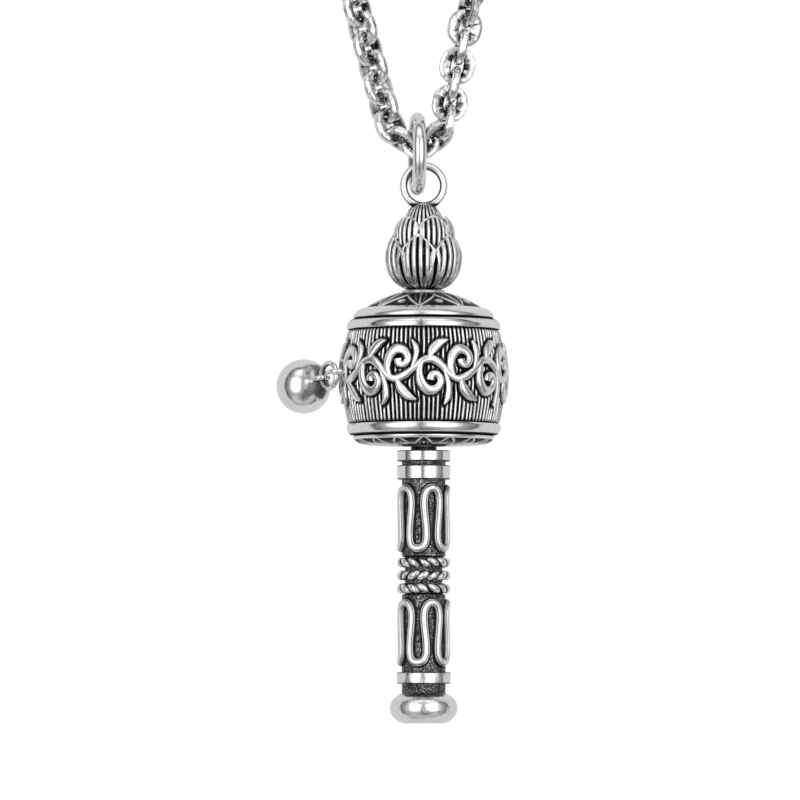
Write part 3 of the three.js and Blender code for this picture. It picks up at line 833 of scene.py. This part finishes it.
def base():
    """The drum's floor: a rounded rim and a ring of engraved petals on the underside."""
    columns = 840
    shape = [(5.96, 25.2), (6.12, 25.08), (6.16, 24.96), (6.02, 24.7), (5.7, 24.48), (5.2, 24.36),
             (4.2, 24.3), (3.0, 24.28), (2.1, 24.28)]
    a, radius, height, bearing, angle, half = petal_disc(shape, 10, 70, columns, 16)
    in_r, in_h = (part[:, None] for part in to_the_right(radius[:, 0], height[:, 0]))
    rim_end, vein_start, side_vein_start, ring_place = 0.12, 0.26, 0.3, 0.93
    edge = half * clamp((a - rim_end) / 0.5) ** 0.5 * 0.94
    outline = ridge((angle - edge) * radius, 0.11) * (a > rim_end)
    vein = ridge(angle * radius, 0.1) * clamp((a - vein_start) * 9)
    side_vein = ridge((angle - edge * 0.5) * radius, 0.07) * clamp((a - side_vein_start) * 9) * 0.8
    plain = clamp((rim_end + 0.02 - a) / 0.03)
    ring = ridge(a - ring_place, 0.03)
    relief = clamp(highest(outline, vein, side_vein, plain, ring))
    sunk = ENGRAVING * (1 - relief)
    sunk[0] = 0
    level = height + sunk * in_h
    floor = on_cylinder(bearing, level, radius + sunk * in_r)
    floor_dark = np.maximum(1 - clamp(relief * 1.3 - 0.1), clamp((level - 25.03) / 0.06))
    inside = [(1.9, 24.28), (1.9, 24.22), (SPINDLE_BORE, 24.22), (SPINDLE_BORE, 25.1), (5.2, 25.1),
              (5.2, 25.24), (5.9, 25.24)]
    build_rows("drum_base_petals", [*floor, *rounds(inside, columns)],
               [floor_dark, np.full((len(inside), columns), 0.9)], "drum_base", sharp=60)


# ---- Weight ----
WEIGHT_BEARING, WEIGHT_DROOP = math.radians(-144), math.radians(12)  # the way from the eyelet to the ball
EYELET_REACH = 7.62648  # from the axis to the eyelet's middle
EYELET_RADIUS, EYELET_WIRE = 0.72, 0.22
HOOK_RADIUS, HOOK_WIRE = 1.1, 0.24
BALL_EYE_RADIUS, BALL_EYE_WIRE = 0.6, 0.22
SLACK = 0.03
BALL_RADIUS, BALL_EYE_GAP = 2.38, 0.35


def weight():
    """The drum's eyelet, a link, the ball's eye and the ball, each as far out as the one before lets it."""
    level = Vector(on_cylinder(WEIGHT_BEARING, 0.0, 1.0))
    ahead = level * math.cos(WEIGHT_DROOP) - Vector((0, 0, math.sin(WEIGHT_DROOP)))
    across = Vector((-level.y, level.x, 0))
    eyelet = Vector(on_cylinder(EYELET_BEARING, EYELET_HEIGHT, EYELET_REACH))
    link_reach = EYELET_RADIUS - EYELET_WIRE - HOOK_WIRE - SLACK + HOOK_RADIUS
    eye_reach = link_reach + HOOK_RADIUS - HOOK_WIRE - BALL_EYE_WIRE - SLACK + BALL_EYE_RADIUS
    ball_reach = eye_reach + BALL_EYE_GAP + BALL_RADIUS
    wire_ring("drum_eyelet_wire", EYELET_RADIUS, EYELET_WIRE, eyelet, (0, 0, 1), "drum", "drum_eyelet",
              segments=64, sides=16)
    wire_ring("weight_link_wire", HOOK_RADIUS, HOOK_WIRE, eyelet + ahead * link_reach, across, "weight_link",
              "weight_link", segments=72, sides=16)
    wire_ring("weight_eye_wire", BALL_EYE_RADIUS, BALL_EYE_WIRE, eyelet + ahead * eye_reach,
              ahead.cross(across), "weight", "weight_ball_eye", segments=64, sides=16)
    ball(eyelet + ahead * ball_reach, ahead)


def ball(centre, ahead):
    """A hollow ball of two halves, with a fine soldered seam round it. The eye's end is a little longer."""
    seam_width, seam_depth = 0.012, 0.012
    outline = [(0.0, -BALL_RADIUS - 0.04)]
    for k in range(1, 73):
        a = math.pi * (k / 73 - 0.5)
        radius = BALL_RADIUS - seam_depth * math.exp(-(a / seam_width) ** 2)
        outline.append((radius * math.cos(a), radius * math.sin(a)))
    outline.append((0.0, BALL_RADIUS))
    points, faces = revolved(outline, 128)
    spin = np.array(Vector((0, 0, -1)).rotation_difference(-ahead).to_matrix())
    # soot that polishing didn't reach lies round the eye, with a ragged edge
    ragged = value_noise(points, 0.8, 3.0) * 1.6 + value_noise(points, 2.6, 8.0) * 0.6
    neck = clamp((-1.75 - points[:, 2]) * 2.4 + ragged) * clamp(-0.9 - points[:, 2])
    build("weight_ball_skin", points @ spin.T + np.array(centre), faces, "weight", POLISHED, ["weight_ball"],
          np.minimum(neck * 1.3, 0.72), sharp=60)


# ---- Chain ----
# where the links of the bend hook into each other, from left to right, as (x, height)
CHAIN_BEND = [(-3.25, 53.11), (-2.6, 51.54), (-1.05, 50.6), (0.55, 50.88), (1.75, 51.9), (2.12, 53.42)]
HANG_LEFT, HANG_RIGHT = -6.03, 4.1
STRAND_LINKS = 6
# each link's turn about its own length, in degrees
LINK_TURNS = [-45, 45, -45, 45, -45, 45, -45, 40, -65, 20, -52, 70, -8, 82, -5, 80, -20, 60, -40]
LINK_WIDTH, LINK_LENGTH, LINK_WIRE = 3.0, 3.36, 0.375
# the end links and the lowest one leave their neighbours more room
THIN_LINKS = ("chain_end_left", "chain_link_09", "chain_end_right")
SLIM_LINKS = (*THIN_LINKS, "chain_link_01", "chain_link_17")
THIN_WIRE, SLIM_SIDES = 0.88, 0.2


def chain_hooks():
    """Where the links hook into each other: down the left strand, round the bend and up the right one."""
    def strand(point, hang):
        x, height = point
        return [(x + (hang - x) * i / STRAND_LINKS, height + (HANG - height) * i / STRAND_LINKS)
                for i in range(STRAND_LINKS + 2)]

    left = strand(CHAIN_BEND[0], HANG_LEFT)[::-1]
    right = strand(CHAIN_BEND[-1], HANG_RIGHT)
    return left + CHAIN_BEND[1:-1] + right


def chain():
    hooks = chain_hooks()
    ends = {0: "chain_end_left", len(LINK_TURNS) - 1: "chain_end_right"}
    for i, turn in enumerate(LINK_TURNS):
        (x0, h0), (x1, h1) = hooks[i], hooks[i + 1]
        tilt = Matrix.Rotation(math.atan2(x0 - x1, h0 - h1), 3, "Y")
        spin = Matrix.Rotation(math.radians(turn), 3, "Z")
        chain_link(ends.get(i, f"chain_link_{i:02d}"), Vector(((x0 + x1) / 2, 0, (h0 + h1) / 2)), tilt @ spin,
                   "hang_ends" if i in ends else "chain")


def chain_link(node, centre, rotation, body):
    """An oval link of wire. Its outer and side faces are cut flat, and its inside is round and darker, by
    patina and painted shade.
    """
    segments = 96
    radius = LINK_WIDTH / 2 - LINK_WIRE
    stretch = (LINK_LENGTH - LINK_WIDTH) / 2
    angles = (np.arange(segments) + 0.5) / segments * TAU
    spokes = np.stack([np.cos(angles), np.zeros(segments), np.sin(angles)], axis=-1)
    path = spokes * radius
    path[:, 2] += np.sign(spokes[:, 2]) * stretch
    wire = LINK_WIRE * (THIN_WIRE if node in THIN_LINKS else 1.0)
    half_section = [(0.0, 0.98), (0.45, 0.97), (0.74, 0.8), (0.92, 0.42), (0.97, 0.0), (0.93, -0.4),
                    (0.76, -0.72), (0.42, -0.92)]
    section = half_section + [(0.0, -0.97)] + [(-side, out) for side, out in half_section[1:][::-1]]
    # the wire is broader on the link's two sides than where the next links hang, mostly inwards
    inwards, outwards = 0.65, 0.16
    sides = np.abs(spokes[:, 0]) ** 1.6 * (SLIM_SIDES if node in SLIM_LINKS else 1.0)
    broad = [[(side * wire, out * wire * (1 + (inwards if out < 0 else outwards) * share))
              for side, out in section] for share in sides]
    points, faces = swept(path, broad, spokes)
    # the inside of the wire is darker, broken by streaks: patina and painted shade
    inner = np.tile([min(1.0, max(0.0, (0.42 - out) * 1.4)) for _, out in section], segments)
    streaks = value_noise(spokes * 2.6, 2.0, centre[2] * 3.1)
    recess = inner * np.clip(0.7 + 1.5 * np.repeat(streaks, len(section)), 0.2, 1.0)
    points = points @ np.array(rotation).T + np.array(centre)
    build(node + "_wire", points, faces, body, WIRE, [node], recess, sharp=24)


# ---- Hidden pieces, floor and light ----
HIDDEN = {"spindle": STEEL, "lower_bush": BRASS, "upper_bush": BRASS, "scroll_tube": BRASS,
          "prayer_scroll": PAPER, "thrust_washer": SOOTY}
FLOOR_HALF, FLOOR_HEIGHT, FLOOR_GLOW = 3.0, -0.3, 0.35
BACK_LIGHT, SIDE_LIGHT, FRONT_LIGHT, FLOOR_LIGHT = 0.68, 0.2, 0.6, 0.6
# azimuth, elevation, half width, half height and blur as slopes, and strength
SOFT_BOXES = [(-34, 6, 0.38, 0.62, 0.28, 2.0),
              (30, 6, 0.46, 0.62, 0.3, 1.9),
              (0, 60, 0.7, 0.3, 0.34, 1.5)]


def hidden_pieces():
    for node, material in HIDDEN.items():
        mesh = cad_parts[node].data
        mesh.materials.clear()
        mesh.materials.append(material)


def add_floor():
    """A pale floor below the pendant. Its edges are far off, and polished faces don't show it."""
    shape = bmesh.new()
    bmesh.ops.create_grid(shape, x_segments=1, y_segments=1, size=FLOOR_HALF)
    mesh = bpy.data.meshes.new("floor")
    shape.to_mesh(mesh)
    shape.free()
    material = bpy.data.materials.new("floor")
    material.use_nodes = True
    shader = material.node_tree.nodes["Principled BSDF"]
    shader.inputs["Base Color"].default_value = (0.95, 0.95, 0.95, 1)
    shader.inputs["Roughness"].default_value = 0.95
    shader.inputs["Emission Color"].default_value = (1, 1, 1, 1)
    shader.inputs["Emission Strength"].default_value = FLOOR_GLOW
    mesh.materials.append(material)
    floor = bpy.data.objects.new("floor", mesh)
    floor.location = (0, 0, FLOOR_HEIGHT)
    floor.visible_glossy = False
    bpy.context.scene.collection.objects.link(floor)


def soft_box(n, azimuth, elevation, half_width, half_height, blur):
    """1 in directions inside a soft-edged rectangle, 0 outside it. Azimuth 0 is towards the camera."""
    a, e = math.radians(azimuth), math.radians(elevation)
    ahead = Vector((math.sin(a) * math.cos(e), -math.cos(a) * math.cos(e), math.sin(e)))
    right = Vector((math.cos(a), math.sin(a), 0))
    depth = n.along(ahead)
    share = n.ramp(depth, 0.0, 0.1)
    for direction, half in ((right, half_width), (ahead.cross(right), half_height)):
        offset = n.math("ABSOLUTE", n.math("DIVIDE", n.along(direction), n.math("MAXIMUM", depth, 0.05)), 0)
        share = n.math("MULTIPLY", share, n.ramp(offset, half + blur, half - blur))
    return share


def room_light(n):
    """The light from each direction: a white room, a greyer front with three soft boxes, and dark gaps.

    The gaps are a patchy seam where the front begins, an upright slit between two boxes and a patch below.
    """
    up = n.along((0, 0, 1))
    uneven = n.ramp(n.noise(1.7, 2, 0.5), 0.3, 0.7, -0.09, 0.09)
    front = n.math("ADD", n.along((0, -1, 0)), uneven)
    level = n.math("MAXIMUM", n.ramp(front, 0.12, 0.8, SIDE_LIGHT, FRONT_LIGHT),
                   n.ramp(front, 0.1, -0.06, 0.0, BACK_LIGHT))
    level = n.math("MAXIMUM", level, n.ramp(up, -0.3, -0.75, 0.0, FLOOR_LIGHT))
    for box in SOFT_BOXES:
        level = n.math("MAXIMUM", level, n.math("MULTIPLY", soft_box(n, *box[:5]), box[5]))
    patchy = n.ramp(n.noise(2.4, 2, 0.5), 0.42, 0.58, 0.3, 0.85)
    seam = n.ramp(n.math("ABSOLUTE", n.math("SUBTRACT", front, 0.1), 0), 0.1, 0.04)
    slit = soft_box(n, azimuth=-5, elevation=0, half_width=0.06, half_height=2.5, blur=0.05)
    below = soft_box(n, azimuth=3, elevation=-48, half_width=0.32, half_height=0.3, blur=0.25)
    gaps = n.math("MAXIMUM", n.math("MULTIPLY", seam, patchy), n.math("MULTIPLY", slit, 0.85))
    gaps = n.math("MAXIMUM", gaps, n.math("MULTIPLY", below, 0.75))
    return n.math("MULTIPLY", level, n.math("SUBTRACT", 1.0, gaps))


def studio():
    world = bpy.data.worlds.new("studio")
    bpy.context.scene.world = world
    world.use_nodes = True
    n = Nodes(world.node_tree, "Generated")
    room = world.node_tree.nodes["Background"]
    n.link(room_light(n), room.inputs["Strength"])
    room.inputs["Color"].default_value = (0.98, 0.99, 1.0, 1)
    # what the camera sees behind the pendant is plain white
    white = n.add("Background", {"Color": (1, 1, 1, 1)})
    mix = n.add("MixShader", {0: n.add("LightPath").outputs["Is Camera Ray"], 1: room.outputs[0],
                              2: white.outputs[0]})
    n.link(mix.outputs[0], world.node_tree.nodes["World Output"].inputs["Surface"])
    bpy.context.scene.view_settings.view_transform = "Standard"
    bpy.context.scene.view_settings.look = "None"


add_camera()
foot_knob()
handle_core()
collar("lower_collar_band", 2.34, 3.46, 4.45, "lower_collar", WORN)
collar("upper_collar_band", 2.31, 21.3, 22.52, "upper_collar")
collar("top_collar_band", 2.31, 22.88, 23.82, "top_collar")
meander("lower_meander_wire", *LOWER_MEANDER, "lower_meander")
meander("upper_meander_wire", *UPPER_MEANDER, "upper_meander")
for index, rope_height in enumerate(ROPES):
    rope_ring(f"rope_{index + 1}", rope_height, f"rope_ring_{index + 1}", (-1, 1, -1)[index])
finial()
lotus_bud()
eye_and_jump_rings()
drum()
drum_rims()
lid()
base()
weight()
chain()
hidden_pieces()
studio()
add_floor()
